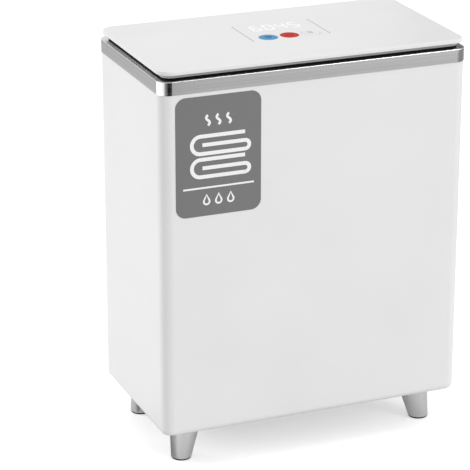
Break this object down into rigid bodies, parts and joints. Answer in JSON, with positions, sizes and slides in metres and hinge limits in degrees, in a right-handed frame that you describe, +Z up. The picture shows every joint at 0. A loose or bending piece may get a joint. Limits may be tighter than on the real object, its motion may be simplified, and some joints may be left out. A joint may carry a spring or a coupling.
{
  "type": "towel warmer bucket",
  "caption": "Insulated, electrically heated bucket for warming towels, with a flat hinged lid, push buttons, a steel trim band and splayed feet.",
  "frame": {"origin": "on the floor at the centre of the footprint, midway between the four feet", "axes": "+X to the right seen from the front, +Y from the front to the hinge side, +Z up"},
  "size_m": [0.39, 0.215, 0.4978],
  "materials": {
    "white_shell": "smooth satin white",
    "lid_white": "smooth satin white",
    "panel_white": "satin white film, see-through for the digits",
    "panel_line": "dark inlay",
    "band_steel": "fine brushing along the band",
    "foot_silver": "satin silver",
    "black_rubber": "matt black",
    "cable_sheath": "black cable sheath",
    "black_plastic": "fine texture",
    "grey_plastic": "satin grey",
    "liner_grey": "satin light grey",
    "bucket_aluminium": "brushed",
    "heater_plate": "plain",
    "silicone_mat": "red-brown silicone",
    "silicone_clear": "translucent silicone",
    "felt": "needled felt",
    "label_grey": "printed grey film",
    "circuit_green": "solder mask",
    "component_black": "moulded",
    "component_yellow": "moulded",
    "component_green": "moulded",
    "sensor_case": "plain",
    "hinge_steel": "satin",
    "screw_steel": "zinc plated",
    "blade_brass": "nickel-free brass",
    "button_blue": "glossy blue",
    "button_red": "glossy red",
    "button_white": "glossy white"
  },
  "bodies": {
    "bucket": {"base_insulation": "felt", "base_plate": "black_plastic", "base_screws": "screw_steel", "board_screws": "screw_steel", "body_harness": "cable_sheath", "filter_capacitor": "component_yellow", "floor_heater": "heater_plate", "foot_bolts": "screw_steel", "foot_front_left": "foot_silver", "foot_front_right": "foot_silver", "foot_pads": "black_rubber", "foot_rear_left": "foot_silver", "foot_rear_right": "foot_silver", "front_label": "label_grey", "heater_leads": "cable_sheath", "heater_relay": "component_black", "hinge_body_leaf_left": "hinge_steel", "hinge_body_leaf_right": "hinge_steel", "hinge_body_screws": "screw_steel", "hinge_pins": "hinge_steel", "inlet_blades": "blade_brass", "inlet_screws": "screw_steel", "inlet_tray": "white_shell", "inner_bucket": "bucket_aluminium", "insulation_wrap": "felt", "liner_buffers": "silicone_clear", "liner_screws": "screw_steel", "mains_leads": "cable_sheath", "mouth_ring": "black_plastic", "outer_shell": "white_shell", "power_board": "circuit_green", "power_inlet": "black_plastic", "power_transformer": "component_yellow", "terminal_blocks": "component_green", "thermal_fuse": "sensor_case", "thermostat": "sensor_case", "trim_band": "band_steel", "wall_heater": "silicone_mat"},
    "lid": {"lid_top": "lid_white", "panel_lines": "panel_line", "control_panel": "panel_white", "lid_frame": "grey_plastic", "lid_gasket": "black_rubber", "lid_liner": "liner_grey", "lid_screws": "screw_steel", "lid_insulation": "felt", "control_board": "circuit_green", "control_board_screws": "screw_steel", "switches": "component_black", "display_module": "component_black", "cable_sleeve": "black_plastic", "lid_harness": "cable_sheath", "fragrance_holder": "liner_grey", "fragrance_pad": "felt", "hinge_lid_leaf_left": "hinge_steel", "hinge_lid_leaf_right": "hinge_steel", "hinge_lid_screws": "screw_steel"},
    "blue_button": {"blue_button": "button_blue"},
    "red_button": {"red_button": "button_red"},
    "white_button": {"white_button": "button_white"},
    "fragrance_cap": {"fragrance_cap": "liner_grey"}
  },
  "joints": [
    {"name": "lid_hinge", "type": "hinge", "parent": "bucket", "child": "lid", "pos_m": [0, 0.1035, 0.4894], "axis": [-1, 0, 0], "range_deg": [0, 95]},
    {"name": "blue_button_press", "type": "slide", "parent": "lid", "child": "blue_button", "axis": [0, 0, -1], "range_m": [0, 0.001], "stiffness_N_per_m": 800},
    {"name": "red_button_press", "type": "slide", "parent": "lid", "child": "red_button", "axis": [0, 0, -1], "range_m": [0, 0.001], "stiffness_N_per_m": 800},
    {"name": "white_button_press", "type": "slide", "parent": "lid", "child": "white_button", "axis": [0, 0, -1], "range_m": [0, 0.001], "stiffness_N_per_m": 800},
    {"name": "fragrance_cap_twist", "type": "hinge", "parent": "lid", "child": "fragrance_cap", "pos_m": [0, 0, 0.456], "axis": [0, 0, 1], "range_deg": [0, 60]}
  ]
}
